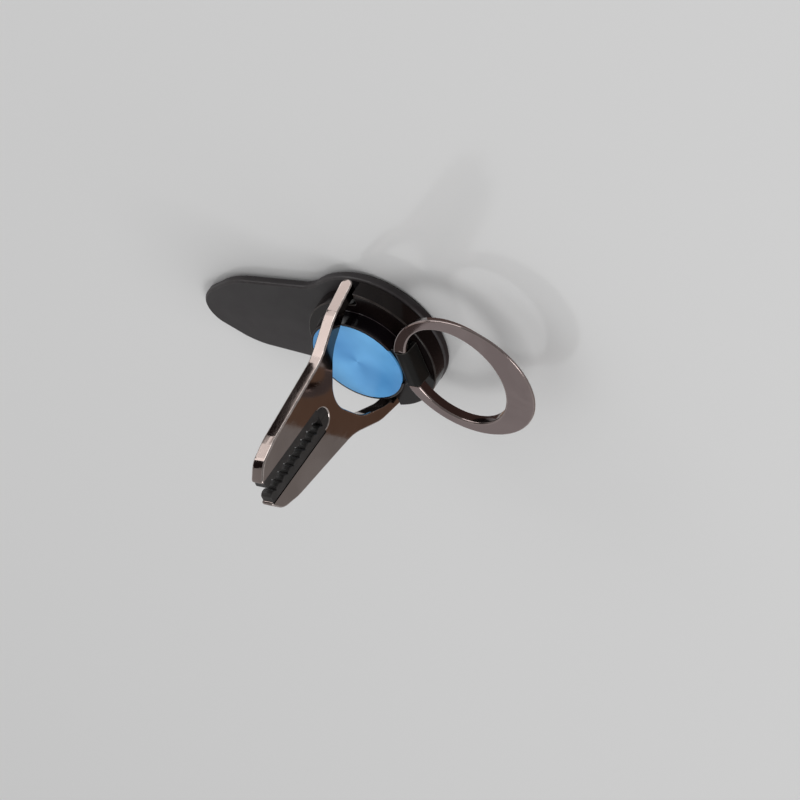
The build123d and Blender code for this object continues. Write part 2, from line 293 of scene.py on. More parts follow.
def makeGrainGroup():
    # fine even grain of a moulded or blasted skin
    tree, start, end = startGroup("skinGrain", [
        ("Scale", "NodeSocketFloat", 2500.0), ("Smooth", "NodeSocketFloat", 0.4),
        ("Rough", "NodeSocketFloat", 0.55)],
        [("Roughness", "NodeSocketFloat"), ("Height", "NodeSocketFloat")])
    coords = addNode(tree, "ShaderNodeTexCoord")
    cells = addNode(tree, "ShaderNodeTexVoronoi", {"feature": "SMOOTH_F1"}, {"Smoothness": 0.8})
    noise = addNode(tree, "ShaderNodeTexNoise", values={"Scale": 220.0, "Detail": 5.0})
    spread = addNode(tree, "ShaderNodeMapRange", values={"From Min": 0.3, "From Max": 0.7})
    tree.links.new(coords.outputs["Object"], cells.inputs["Vector"])
    tree.links.new(coords.outputs["Object"], noise.inputs["Vector"])
    tree.links.new(start.outputs["Scale"], cells.inputs["Scale"])
    tree.links.new(noise.outputs["Fac"], spread.inputs["Value"])
    tree.links.new(start.outputs["Smooth"], spread.inputs["To Min"])
    tree.links.new(start.outputs["Rough"], spread.inputs["To Max"])
    tree.links.new(spread.outputs["Result"], end.inputs["Roughness"])
    tree.links.new(cells.outputs["Distance"], end.inputs["Height"])
    return tree


toneClouds = makeCloudGroup()
hairlines = makeHairlineGroup()
wearAndHighlightEdges = makeWearAndHighlightGroup()
skinGrain = makeGrainGroup()
print("shader groups made")


def useGroup(tree, group, values):
    node = tree.nodes.new("ShaderNodeGroup")
    node.node_tree = group
    for key, value in values.items():
        node.inputs[key].default_value = value
    return node


def startMaterial(name, settings):
    material = bpy.data.materials.new(name)
    material.use_nodes = True
    tree = material.node_tree
    shader = tree.nodes["Principled BSDF"]
    for key, value in settings.items():
        shader.inputs[key].default_value = value
    return material, tree, shader


def addBump(tree, shader, height, strength, depth):
    bump = addNode(tree, "ShaderNodeBump", values={"Strength": strength, "Distance": depth * mm})
    tree.links.new(height, bump.inputs["Height"])
    tree.links.new(bump.outputs["Normal"], shader.inputs["Normal"])


def platedMaterial(name, look):
    # polished plating or gloss coat: clouds of tone, rub marks, and paler edges that are partly wear and
    # partly a painted edge highlight
    material, tree, shader = startMaterial(name, look["shader"])
    clouds = useGroup(tree, toneClouds, look["clouds"])
    marks = useGroup(tree, hairlines, look["marks"])
    wearAndHighlightTint = useGroup(tree, wearAndHighlightEdges, look["wearAndHighlightTint"])
    tree.links.new(clouds.outputs["Color"], wearAndHighlightTint.inputs["Color"])
    tree.links.new(wearAndHighlightTint.outputs["Color"], shader.inputs["Base Color"])
    tree.links.new(marks.outputs["Roughness"], shader.inputs["Roughness"])
    addBump(tree, shader, marks.outputs["Height"], look["bump"], look["depth"])
    return material


def mouldedMaterial(name, look):
    # satin or rubbery skin: clouds of tone, fine grain, and paler edges that are partly wear and partly a
    # painted edge highlight
    material, tree, shader = startMaterial(name, look["shader"])
    clouds = useGroup(tree, toneClouds, look["clouds"])
    grain = useGroup(tree, skinGrain, look["grain"])
    wearAndHighlightTint = useGroup(tree, wearAndHighlightEdges, look["wearAndHighlightTint"])
    tree.links.new(clouds.outputs["Color"], wearAndHighlightTint.inputs["Color"])
    tree.links.new(wearAndHighlightTint.outputs["Color"], shader.inputs["Base Color"])
    tree.links.new(grain.outputs["Roughness"], shader.inputs["Roughness"])
    addBump(tree, shader, grain.outputs["Height"], look["bump"], look["depth"])
    return material


# base plate: round foot with a wing

plate = {
    "rim": 16.4, "reach": 42.6, "rootHalf": 12.5, "shoulderX": 33.0, "shoulderHalf": 9.2, "noseHalf": 3.2,
    "flare": 9.0, "shoulderRound": 14.0, "noseFill": 0.95, "turn": -2.2, "topRound": 0.6, "footRound": 0.35,
    "rivetBore": 3.05, "boreCut": 8.0, "headBore": 5.8, "headDepth": 1.16,
}
plateLook = {
    "shader": {"Metallic": 0.0, "Specular IOR Level": 0.3},
    "clouds": {"Light": (0.027, 0.0225, 0.024, 1), "Dark": (0.022, 0.0185, 0.0195, 1), "Scale": 70.0},
    "grain": {"Scale": 3200.0, "Smooth": 0.40, "Rough": 0.50},
    # paler edge colour: partly wear, partly a painted edge highlight
    "wearAndHighlightTint": {"Rubbed": (0.075, 0.066, 0.066, 1), "Amount": 0.35},
    "bump": 0.05, "depth": 0.05,
}


def makePlate():
    low, high = [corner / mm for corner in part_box("base_plate")]
    bm = newBody()
    slope = (plate["rootHalf"] - plate["shoulderHalf"]) / plate["shoulderX"]
    tilt = math.hypot(1, slope)
    # the flare's centre lies one flare above the wing's edge and one flare outside the round foot
    rise = plate["rootHalf"] + plate["flare"] * tilt
    span = plate["rim"] + plate["flare"]
    half = slope * rise / tilt**2
    flareX = -half - math.sqrt(half**2 - (rise**2 - span**2) / tilt**2)
    centre = Vector((flareX, rise + slope * flareX))
    touch = centre * plate["rim"] / span
    foot = centre + Vector((slope, -1)) * plate["flare"] / tilt
    footTurn = math.degrees(math.atan2(touch.y, touch.x))
    flareTurn = math.degrees((touch - centre).angle_signed(foot - centre))
    run = arcRun(bm, (0, 0), (plate["rim"], 0), footTurn, steps=56)
    run += arcRun(bm, centre, touch, -flareTurn, steps=14)
    shoulder = (-plate["shoulderX"], plate["shoulderHalf"])
    nose = (-plate["reach"], plate["noseHalf"])
    run += cornerRun(bm, [shoulder, nose, (-plate["reach"], 0)])
    bm.faces.new(run)
    bmesh.ops.remove_doubles(bm, verts=bm.verts[:], dist=weldGap)
    noseTurn = math.atan2(shoulder[1] - nose[1], plate["reach"] - plate["shoulderX"])
    noseRound = plate["noseFill"] * plate["noseHalf"] / math.tan((math.pi / 2 - noseTurn) / 2)
    roundCorner(bm, nose, noseRound, steps=16)
    roundCorner(bm, shoulder, plate["shoulderRound"], steps=14)
    mirrorHalf(bm)
    thicken(bm, high.z - low.z)
    bmesh.ops.translate(bm, verts=bm.verts[:], vec=(0, 0, low.z * mm))
    softenEdges(bm, sharpEdges(bm, level(high.z)), plate["topRound"], steps=5)
    softenEdges(bm, sharpEdges(bm, level(low.z)), plate["footRound"], steps=3)
    turn = Matrix.Rotation(math.radians(plate["turn"]), 3, "Z")
    bmesh.ops.rotate(bm, verts=bm.verts[:], cent=(0, 0, 0), matrix=turn)
    bore = rod(plate["rivetBore"], plate["boreCut"], (0, 0, low.z))
    head = rod(plate["headBore"], 2 * plate["headDepth"], (0, 0, low.z), steps=64)
    bm = cutAway(bm, [bore, head])
    return finishPiece(bm, "basePlate", "base_plate", "base",
                       mouldedMaterial("satinGraphite", plateLook))


# turntable: glossy body with a notch for each clip arm

table = {
    "rim": 16.3, "deck": 13.4, "flat": 13.0, "notchX": 2.6, "notchRound": 0.8, "topRound": 0.3,
    "rivetBore": 3.0, "boreCut": 12.0, "floor": 1.5, "well": 7.6, "wellCut": 8.0,
    "pinX": 0.3, "pinZ": 4.7, "pinBore": 1.0, "pinSeat": 9.2,
}
tableLook = {
    "shader": {"Metallic": 0.0, "Specular IOR Level": 0.18},
    "clouds": {"Light": (0.0095, 0.0062, 0.0055, 1), "Dark": (0.005, 0.0032, 0.0032, 1), "Scale": 110.0},
    "marks": {"Stretch": (1, 1, 9), "Scale": 700.0, "Smooth": 0.12, "Rubbed": 0.24},
    # paler edge colour: partly wear, partly a painted edge highlight
    "wearAndHighlightTint": {"Rubbed": (0.06, 0.05, 0.045, 1), "Amount": 0.6},
    "bump": 0.02, "depth": 0.05,
}


def makeTable():
    low, high = [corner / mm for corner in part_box("turntable")]
    bm = newBody()
    rimY = math.sqrt(table["rim"]**2 - table["notchX"]**2)
    flatX = math.sqrt(table["deck"]**2 - table["flat"]**2)
    notch = (table["notchX"], table["flat"])
    rimTurn = math.degrees(math.atan2(rimY, table["notchX"]))
    deckTurn = 180 - math.degrees(math.atan2(table["flat"], -flatX))
    run = arcRun(bm, (0, 0), (table["rim"], 0), rimTurn, steps=48)
    run += cornerRun(bm, [notch])
    run += arcRun(bm, (0, 0), (-flatX, table["flat"]), deckTurn, steps=40)
    bm.faces.new(run)
    roundCorner(bm, notch, table["notchRound"], steps=6)
    mirrorHalf(bm)
    thicken(bm, high.z - low.z)
    bmesh.ops.translate(bm, verts=bm.verts[:], vec=(0, 0, low.z * mm))
    softenEdges(bm, sharpEdges(bm, level(high.z)), table["topRound"], steps=3)
    bore = rod(table["rivetBore"], table["boreCut"], (0, 0, low.z))
    wellMiddle = low.z + table["floor"] + table["wellCut"] / 2
    well = rod(table["well"], table["wellCut"], (0, 0, wellMiddle), steps=64)
    pinLength = table["rim"] - table["pinSeat"]
    pins = [rod(table["pinBore"], pinLength, (table["pinX"], side * (table["rim"] + table["pinSeat"]) / 2,
                                               table["pinZ"]), alongY) for side in (1, -1)]
    bm = cutAway(bm, [bore, well] + pins)
    return finishPiece(bm, "turntableBody", "turntable", "swivel",
                       platedMaterial("glossBlack", tableLook))


# hub cap with its cradle for the ring's bar

hub = {
    "radius": 10.9, "foot": 11.3, "footHeight": 0.35, "footRound": 0.1, "rimWidth": 0.45, "seatDepth": 0.55,
    "bottom": 6.5, "top": 10.2, "round": 0.15, "segments": 144,
    "slotHalf": 4.75, "slotDepth": 1.0, "slotFrom": 3.0, "slotTo": 11.4, "slotOver": 1.0,
    "cradleHalf": 4.6, "cradleTo": 12.9, "cradleTop": 8.3, "barX": 12.1, "barZ": 8.75, "groove": 0.8,
}
hubLook = {
    "shader": {"Metallic": 0.0, "Specular IOR Level": 0.2},
    "clouds": {"Light": (0.0075, 0.005, 0.006, 1), "Dark": (0.004, 0.0026, 0.0036, 1), "Scale": 130.0},
    "marks": {"Stretch": (1, 1, 8), "Scale": 800.0, "Smooth": 0.10, "Rubbed": 0.20},
    # paler edge colour: partly wear, partly a painted edge highlight
    "wearAndHighlightTint": {"Rubbed": (0.07, 0.055, 0.055, 1), "Amount": 0.7},
    "bump": 0.02, "depth": 0.05,
}


def makeHub():
    bm = newBody()
    bmesh.ops.create_circle(bm, cap_ends=True, segments=hub["segments"], radius=hub["foot"] * mm)
    top = bm.faces[:]
    height = hub["top"] - hub["bottom"]

    def raiseTop(amount):
        lifted = bmesh.ops.extrude_face_region(bm, geom=top)
        verts = [part for part in lifted["geom"] if isinstance(part, bmesh.types.BMVert)]
        bmesh.ops.translate(bm, verts=verts, vec=(0, 0, amount * mm))
        return [part for part in lifted["geom"] if isinstance(part, bmesh.types.BMFace)]

    top = raiseTop(hub["footHeight"])
    bmesh.ops.inset_region(bm, faces=top, thickness=(hub["foot"] - hub["radius"]) * mm)
    top = raiseTop(height - hub["footHeight"])
    bmesh.ops.inset_region(bm, faces=top, thickness=hub["rimWidth"] * mm)
    raiseTop(-hub["seatDepth"])
    bmesh.ops.recalc_face_normals(bm, faces=bm.faces[:])
    softenEdges(bm, sharpEdges(bm, level(height)), hub["round"], steps=2)
    atFoot = level(hub["footHeight"])
    footMiddle = (hub["radius"] + hub["foot"]) / 2
    footEdges = sharpEdges(bm, lambda p: atFoot(p) and p.xy.length > footMiddle)
    softenEdges(bm, footEdges, hub["footRound"], steps=2)
    bmesh.ops.translate(bm, verts=bm.verts[:], vec=(0, 0, hub["bottom"] * mm))
    seat = hub["top"] - hub["seatDepth"]
    cradle = brick((hub["radius"] / 2, -hub["cradleHalf"], hub["bottom"]),
                   (hub["cradleTo"], hub["cradleHalf"], hub["cradleTop"]))
    bm = cutAway(bm, [cradle], "UNION")
    slot = brick((hub["slotFrom"], -hub["slotHalf"], seat - hub["slotDepth"]),
                 (hub["slotTo"], hub["slotHalf"], hub["top"] + hub["slotOver"]))
    groove = rod(hub["groove"], 4 * hub["cradleHalf"], (hub["barX"], 0, hub["barZ"]), alongY)
    bm = cutAway(bm, [slot, groove])
    return finishPiece(bm, "hubCap", "hub_cap", "swivel",
                       platedMaterial("plumBlack", hubLook))


# blue accent disc

accent = {"radius": 10.4, "round": 0.15, "segments": 144}
accentLook = {
    "shader": {"Metallic": 0.0, "Specular IOR Level": 0.25},
    # light and dark blue ends; the swing between them round the middle is a painted sheen, mixed with random
    # clouds
    "light": (0.19, 0.56, 1.0, 1), "dark": (0.075, 0.30, 0.66, 1),
    "ringScale": 5200.0, "sheenSweep": 2.0, "sheenShare": 0.28, "smooth": 0.26, "rubbed": 0.42,
    "cloudScale": 130.0, "bump": 0.06, "depth": 0.05,
}


def accentMaterial():
    # spun foil: fine turning rings, and a painted sheen: the tone swings round the middle like the highlight
    # on spun metal, mixed with random clouds
    material, tree, shader = startMaterial("blueFoil", accentLook["shader"])
    coords = addNode(tree, "ShaderNodeTexCoord")
    split = addNode(tree, "ShaderNodeSeparateXYZ")
    turn = addNode(tree, "ShaderNodeMath", {"operation": "ARCTAN2"})
    # painted sheen: the angle round the middle swings the tone, as a highlight would on spun metal
    sheenSweep = addNode(tree, "ShaderNodeMath", {"operation": "MULTIPLY"})
    sheenSweep.inputs[1].default_value = accentLook["sheenSweep"]
    sheenWave = addNode(tree, "ShaderNodeMath", {"operation": "SINE"})
    clouds = addNode(tree, "ShaderNodeTexNoise", values={"Scale": accentLook["cloudScale"], "Detail": 2.0})
    sheenAndClouds = addNode(tree, "ShaderNodeMath", {"operation": "MULTIPLY_ADD"})
    sheenAndClouds.inputs[1].default_value = accentLook["sheenShare"]
    tree.links.new(coords.outputs["Object"], split.inputs[0])
    tree.links.new(split.outputs["Y"], turn.inputs[0])
    tree.links.new(split.outputs["X"], turn.inputs[1])
    tree.links.new(turn.outputs[0], sheenSweep.inputs[0])
    tree.links.new(sheenSweep.outputs[0], sheenWave.inputs[0])
    tree.links.new(coords.outputs["Object"], clouds.inputs["Vector"])
    tree.links.new(sheenWave.outputs[0], sheenAndClouds.inputs[0])
    tree.links.new(clouds.outputs["Fac"], sheenAndClouds.inputs[2])
    colour = mixColour(tree, sheenAndClouds.outputs[0], accentLook["dark"], accentLook["light"])
    tree.links.new(colour, shader.inputs["Base Color"])
    flat = addNode(tree, "ShaderNodeVectorMath", {"operation": "MULTIPLY"})
    flat.inputs[1].default_value = (1, 1, 0)
    reach = addNode(tree, "ShaderNodeVectorMath", {"operation": "LENGTH"})
    rings = addNode(tree, "ShaderNodeTexNoise", {"noise_dimensions": "1D"},
                    {"Scale": accentLook["ringScale"], "Detail": 3.0})
    gloss = addNode(tree, "ShaderNodeMapRange",
                    values={"To Min": accentLook["smooth"], "To Max": accentLook["rubbed"]})
    tree.links.new(coords.outputs["Object"], flat.inputs[0])
    tree.links.new(flat.outputs[0], reach.inputs[0])
    tree.links.new(reach.outputs["Value"], rings.inputs["W"])
    tree.links.new(rings.outputs["Fac"], gloss.inputs["Value"])
    tree.links.new(gloss.outputs["Result"], shader.inputs["Roughness"])
    addBump(tree, shader, rings.outputs["Fac"], accentLook["bump"], accentLook["depth"])
    return material


def makeAccent():
    low, high = [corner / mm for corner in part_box("accent_disc")]
    bm = newBody()
    bmesh.ops.create_circle(bm, cap_ends=True, segments=accent["segments"], radius=accent["radius"] * mm)
    thicken(bm, high.z - low.z)
    bmesh.ops.translate(bm, verts=bm.verts[:], vec=(0, 0, low.z * mm))
    softenEdges(bm, sharpEdges(bm, level(high.z)), accent["round"], steps=3)
    return finishPiece(bm, "accentDisc", "accent_disc", "swivel", accentMaterial())


# folded strap that holds the ring's bar

strap = {
    "thick": 1.0, "half": 4.7, "round": 0.1,
    "line": [(3.0, 9.15), (10.75, 9.15), (11.4, 10.05), (12.95, 10.05), (13.4, 9.5), (13.9, 6.6)],
    "bends": [0.6, 0.8, 0.7, 1.2],
}
strapLook = {
    "shader": {"Metallic": 0.0, "Specular IOR Level": 0.14},
    "clouds": {"Light": (0.006, 0.0058, 0.0052, 1), "Dark": (0.004, 0.0038, 0.0035, 1), "Scale": 180.0},
    "marks": {"Stretch": (1, 10, 1), "Scale": 600.0, "Smooth": 0.28, "Rubbed": 0.42},
    # paler edge colour: partly wear, partly a painted edge highlight
    "wearAndHighlightTint": {"Rubbed": (0.14, 0.13, 0.12, 1), "Amount": 0.6},
    "bump": 0.05, "depth": 0.05,
}


def makeStrap():
    bm = newBody()
    row = [bm.verts.new(point(x, -strap["half"], z)) for x, z in strap["line"]]
    for pair in zip(row, row[1:]):
        bm.edges.new(pair)
    for (x, z), bend in zip(strap["line"][1:], strap["bends"]):
        roundCorner(bm, (x, -strap["half"], z), bend, steps=6)
    drawn = bmesh.ops.extrude_edge_only(bm, edges=bm.edges[:])
    verts = [part for part in drawn["geom"] if isinstance(part, bmesh.types.BMVert)]
    bmesh.ops.translate(bm, verts=verts, vec=(0, 2 * strap["half"] * mm, 0))
    bmesh.ops.recalc_face_normals(bm, faces=bm.faces[:])
    obj = looseObject(bm, "strapSheet")
    wall = obj.modifiers.new("wall", "SOLIDIFY")
    wall.thickness = strap["thick"] * mm
    wall.offset = 0.0
    wall.use_even_offset = True
    bpy.context.view_layer.update()
    bm = newBody()
    bm.from_object(obj, bpy.context.evaluated_depsgraph_get())
    mesh = obj.data
    bpy.data.objects.remove(obj)
    bpy.data.meshes.remove(mesh)
    softenEdges(bm, sharpEdges(bm, least=50), strap["round"], steps=2)
    return finishPiece(bm, "hingeStrap", "hinge_strap", "swivel",
                       platedMaterial("darkStrap", strapLook), sharp=60)


# finger ring on its bar

ring = {
    "radius": 16.1, "centreX": 26.2, "edge": 0.5, "underX": 24.2, "underHalfX": 13.9, "underHalfY": 14.7,
    "holeX": 24.2, "holeHalfX": 11.25, "holeHalfY": 13.2, "segments": 160,
    "topRound": 0.3, "edgeRound": 0.08, "underRound": 0.3, "innerRound": 0.45, "endRound": 0.2,
    "gapHalf": 4.85, "rimSlack": 0.05, "endSlack": 0.001, "barX": 12.1, "barZ": 8.75, "bar": 0.75,
}
ringLook = {
    "shader": {"Metallic": 1.0},
    "clouds": {"Light": (0.215, 0.172, 0.168, 1), "Dark": (0.185, 0.146, 0.143, 1), "Scale": 90.0},
    "marks": {"Stretch": (1, 1, 6), "Scale": 900.0, "Smooth": 0.07, "Rubbed": 0.14},
    # paler edge colour: partly wear, partly a painted edge highlight
    "wearAndHighlightTint": {"Rubbed": (0.30, 0.25, 0.235, 1), "Amount": 0.6},
    "bump": 0.015, "depth": 0.05,
}


def ringLoop(bm, centreX, halfX, halfY, z):
    verts = bmesh.ops.create_circle(bm, cap_ends=False, segments=ring["segments"], radius=mm)["verts"]
    bmesh.ops.scale(bm, verts=verts, vec=(halfX, halfY, 1))
    bmesh.ops.translate(bm, verts=verts, vec=point(centreX, 0, z))
    return list(dict.fromkeys(edge for vert in verts for edge in vert.link_edges))


def makeRing():
    low, high = [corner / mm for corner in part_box("finger_ring")]
    bm = newBody()
    edgeZ = high.z - ring["edge"]
    outer = (ring["centreX"], ring["radius"], ring["radius"])
    hole = (ring["holeX"], ring["holeHalfX"], ring["holeHalfY"])
    under = (ring["underX"], ring["underHalfX"], ring["underHalfY"])
    loops = [ringLoop(bm, *shape, z) for shape, z in (
        (under, low.z), (outer, edgeZ), (outer, high.z), (hole, high.z), (hole, low.z))]
    for first, second in zip(loops, loops[1:] + loops[:1]):
        bmesh.ops.bridge_loops(bm, edges=first + second)
    bmesh.ops.recalc_face_normals(bm, faces=bm.faces[:])
    middle = Vector((ring["centreX"], 0))
    onTop = level(high.z)

    def onRim(p):
        return (p.xy - middle).length > ring["radius"] - ring["rimSlack"]

    softenEdges(bm, sharpEdges(bm, lambda p: onTop(p) and onRim(p)), ring["topRound"], steps=3)
    softenEdges(bm, sharpEdges(bm, lambda p: onTop(p) and not onRim(p)), ring["innerRound"], steps=4)
    softenEdges(bm, sharpEdges(bm, level(edgeZ), least=5), ring["edgeRound"], steps=2)
    softenEdges(bm, sharpEdges(bm, level(low.z), least=10), ring["underRound"], steps=3)
    for side in (1, -1):
        whole = bm.verts[:] + bm.edges[:] + bm.faces[:]
        bmesh.ops.bisect_plane(bm, geom=whole, dist=weldGap / 10, plane_co=point(0, side * ring["gapHalf"]),
                               plane_no=(0, 1, 0))
    gap = [face for face in bm.faces
           if abs(face.calc_center_median().y) < ring["gapHalf"] * mm
           and face.calc_center_median().x < ring["holeX"] * mm]
    bmesh.ops.delete(bm, geom=gap, context="FACES")
    bmesh.ops.holes_fill(bm, edges=[edge for edge in bm.edges if edge.is_boundary], sides=0)
    bmesh.ops.recalc_face_normals(bm, faces=bm.faces[:])

    def atGap(p):
        return abs(abs(p.y) - ring["gapHalf"]) < ring["endSlack"] and p.x < ring["holeX"]

    ends = sharpEdges(bm, atGap, least=50)
    softenEdges(bm, ends, ring["endRound"], steps=2)
    bar = rod(ring["bar"], 2 * (ring["gapHalf"] + ring["bar"]), (ring["barX"], 0, ring["barZ"]), alongY)
    bm = cutAway(bm, [bar], "UNION")
    return finishPiece(bm, "fingerRing", "finger_ring", "ring",
                       platedMaterial("ringNickel", ringLook))


# forked clip: outline in half-width and length from the pins

clip = {
    "thick": 2.9, "lean": -2.0, "axisX": 0.3, "axisZ": 4.7, "edgeRound": 0.35,
    "eyeOuter": (17.2, -1.45), "eyeInner": (13.9, -1.45),
    "knee": (15.2, 7.5), "kneeRound": 10.0, "waist": (10.7, 15.8), "waistRound": 12.0,
    "prong": (8.0, 36.5), "prongRound": 14.0, "cheek": (6.5, 41.6), "cheekRound": 4.0,
    "tip": (2.65, 44.6), "tipRound": 0.71, "seatEnd": 43.6, "seatStart": 22.65, "seatDepth": 0.6,
    "slotHalf": 2.65, "slotApex": 20.0, "peak": 17.8, "peakRound": 6.4,
    "haunch": (9.4, 11.8), "haunchRound": 8.0, "spring": (13.9, 3.6), "springRound": 8.0,
    "pinBore": 1.04, "pinFrom": 12.9, "pinTo": 16.4, "boreMargin": 1.01,
    "slotFill": 0.999, "eyeFill": 0.499, "alongSlack": 0.01, "crossShare": 0.9,
}
clipLook = {
    "shader": {"Metallic": 1.0},
    "clouds": {"Light": (0.205, 0.170, 0.158, 1), "Dark": (0.175, 0.143, 0.131, 1), "Scale": 80.0},
    "marks": {"Stretch": (1, 1, 0.15), "Scale": 1100.0, "Smooth": 0.05, "Rubbed": 0.12},
    # paler edge colour: partly wear, partly a painted edge highlight
    "wearAndHighlightTint": {"Rubbed": (0.46, 0.41, 0.39, 1), "Amount": 0.8},
    "bump": 0.015, "depth": 0.05,
}
# a flat shape drawn as (length, half-width) stands up along Z with its thickness across X
standUp = Matrix(((0, 0, 1), (0, 1, 0), (1, 0, 0)))


def swap(corner):
    return corner[1], corner[0]


def standClip(bm):
    bmesh.ops.translate(bm, verts=bm.verts[:], vec=(0, 0, -clip["thick"] * mm / 2))
    bmesh.ops.rotate(bm, verts=bm.verts[:], cent=(0, 0, 0), matrix=standUp)
    bmesh.ops.recalc_face_normals(bm, faces=bm.faces[:])


def placeClip(bm):
    lean = Matrix.Rotation(math.radians(clip["lean"]), 3, "Y")
    bmesh.ops.rotate(bm, verts=bm.verts[:], cent=(0, 0, 0), matrix=lean)
    bmesh.ops.translate(bm, verts=bm.verts[:], vec=point(clip["axisX"], 0, clip["axisZ"]))


def makeClip():
    bm = newBody()
    half = clip["slotHalf"]
    outside = [clip[name] for name in ("eyeOuter", "knee", "waist", "prong", "cheek", "tip")]
    slot = [(half, clip["slotApex"]), (0, clip["slotApex"])]
    arch = [(0, clip["peak"]), clip["haunch"], clip["spring"], clip["eyeInner"]]
    bm.faces.new(cornerRun(bm, [swap(corner) for corner in outside + slot + arch]))
    for name in ("knee", "waist", "prong", "cheek", "tip", "haunch", "spring"):
        roundCorner(bm, swap(clip[name]), clip[name + "Round"], steps=12)
    roundCorner(bm, (clip["slotApex"], half), half * clip["slotFill"], steps=12)
    mirrorHalf(bm)
    roundCorner(bm, (clip["peak"], 0), clip["peakRound"], steps=16)
    thicken(bm, clip["thick"])
    standClip(bm)
    pinMiddle = (clip["pinFrom"] + clip["pinTo"]) / 2
    bores = [rod(clip["pinBore"], clip["pinTo"] - clip["pinFrom"], (0, side * pinMiddle, 0), alongY)
             for side in (1, -1)]
    bm = cutAway(bm, bores)
    eyeEdges = sharpEdges(bm, level(clip["eyeOuter"][1]))
    ends = [edge for edge in eyeEdges if acrossX(edge) < clip["alongSlack"]]
    softenEdges(bm, ends, clip["thick"] * clip["eyeFill"], steps=8)
    # only the rounded rims keep the mark for the paler edge tint, partly wear and partly a painted edge
    # highlight
    paleEdge = bm.faces.layers.float[edgeMarkName]
    for face in bm.faces:
        face[paleEdge] = 0.0
    reach = clip["boreMargin"] * clip["pinBore"]
    rims = [edge for edge in sharpEdges(bm, lambda p: p.xz.length > reach, least=50)
            if acrossX(edge) < clip["crossShare"] * clip["thick"]]
    softenEdges(bm, rims, clip["edgeRound"], steps=3)
    seats = [brick((-clip["thick"], side * half - clip["seatDepth"], clip["seatStart"]),
                   (clip["thick"], side * half + clip["seatDepth"], clip["seatEnd"])) for side in (1, -1)]
    bm = cutAway(bm, seats)
    placeClip(bm)
    return finishPiece(bm, "clipFork", "clip_frame", "clip",
                       platedMaterial("clipNickel", clipLook))


# ribbed rubber pads in the fork

pad = {
    "ribs": 9, "ribHeight": 1.8, "ribFill": 0.58, "base": 0.6, "faceStep": 0.12, "endGap": 0.05,
    "round": 0.25, "liningTurn": 89.5, "middleGap": 0.02, "rimFrom": 0.1, "rimSlack": 0.1,
}
padLook = {
    "shader": {"Metallic": 0.0, "Specular IOR Level": 0.4},
    "clouds": {"Light": (0.017, 0.0145, 0.014, 1), "Dark": (0.010, 0.0085, 0.008, 1), "Scale": 300.0},
    "grain": {"Scale": 4200.0, "Smooth": 0.45, "Rough": 0.62},
    # paler edge colour: partly wear, partly a painted edge highlight
    "wearAndHighlightTint": {"Rubbed": (0.045, 0.041, 0.041, 1), "Amount": 0.4},
    "bump": 0.12, "depth": 0.05,
}


def makePad(side, name, node, material):
    bm = newBody()
    start, end = clip["seatStart"] + pad["endGap"], clip["seatEnd"] - pad["endGap"]
    pitch = (end - start) / pad["ribs"]
    radius = pad["ribFill"] * pitch
    middle = clip["slotHalf"] - pad["ribHeight"] + radius
    swing = math.degrees(math.asin(pitch / 2 / radius))
    valley = middle - radius * math.cos(math.radians(swing))
    run = []
    for index in range(pad["ribs"]):
        first = start + index * pitch
        run += arcRun(bm, (first + pitch / 2, middle), (first, valley), 2 * swing, steps=10)
    back = clip["slotHalf"] + pad["base"]
    run += cornerRun(bm, [(end, back), (start, back)])
    # the rubber also lines the slot's round end, up to the middle
    lining = clip["slotHalf"] - pad["endGap"]
    run += arcRun(bm, (clip["seatStart"], 0), (clip["seatStart"], lining), pad["liningTurn"], steps=8)
    run += cornerRun(bm, [(start, pad["middleGap"])])
    bm.faces.new(run)
    bmesh.ops.remove_doubles(bm, verts=bm.verts[:], dist=weldGap)
    thicken(bm, clip["thick"])
    standClip(bm)
    squeeze = 1 - 2 * pad["faceStep"] / clip["thick"]
    bmesh.ops.scale(bm, verts=bm.verts[:], vec=(squeeze, side, 1))
    bmesh.ops.recalc_face_normals(bm, faces=bm.faces[:])
    rimStart = start + pad["rimFrom"]
    rims = [edge for edge in sharpEdges(bm, lambda p: p.z > rimStart, least=60)
            if acrossX(edge) < pad["rimSlack"]]
    softenEdges(bm, rims, pad["round"], steps=3)
    placeClip(bm)
    return finishPiece(bm, name, node, "clip", material)


makePlate()
makeTable()
makeHub()
makeAccent()
makeStrap()
makeRing()
makeClip()
gripRubber = mouldedMaterial("gripRubber", padLook)
makePad(1, "gripPadUpper", "grip_pad_upper", gripRubber)
makePad(-1, "gripPadLower", "grip_pad_lower", gripRubber)


# inner pieces keep their solids and get a finish of their own

steelLook = {
    "shader": {"Metallic": 1.0},
    "clouds": {"Light": (0.45, 0.44, 0.42, 1), "Dark": (0.34, 0.33, 0.32, 1), "Scale": 200.0},
    "marks": {"Stretch": (1, 1, 8), "Scale": 700.0, "Smooth": 0.22, "Rubbed": 0.38},
    # paler edge colour: partly wear, partly a painted edge highlight
    "wearAndHighlightTint": {"Rubbed": (0.6, 0.6, 0.58, 1), "Amount": 0.3},
    "bump": 0.05, "depth": 0.05,
}
nylonLook = {
    "shader": {"Metallic": 0.0, "Specular IOR Level": 0.45},
    "clouds": {"Light": (0.030, 0.029, 0.029, 1), "Dark": (0.020, 0.019, 0.019, 1), "Scale": 150.0},
    "grain": {"Scale": 3000.0, "Smooth": 0.45, "Rough": 0.6},
    # paler edge colour: partly wear, partly a painted edge highlight
    "wearAndHighlightTint": {"Rubbed": (0.05, 0.05, 0.05, 1), "Amount": 0.3},
    "bump": 0.08, "depth": 0.05,
}
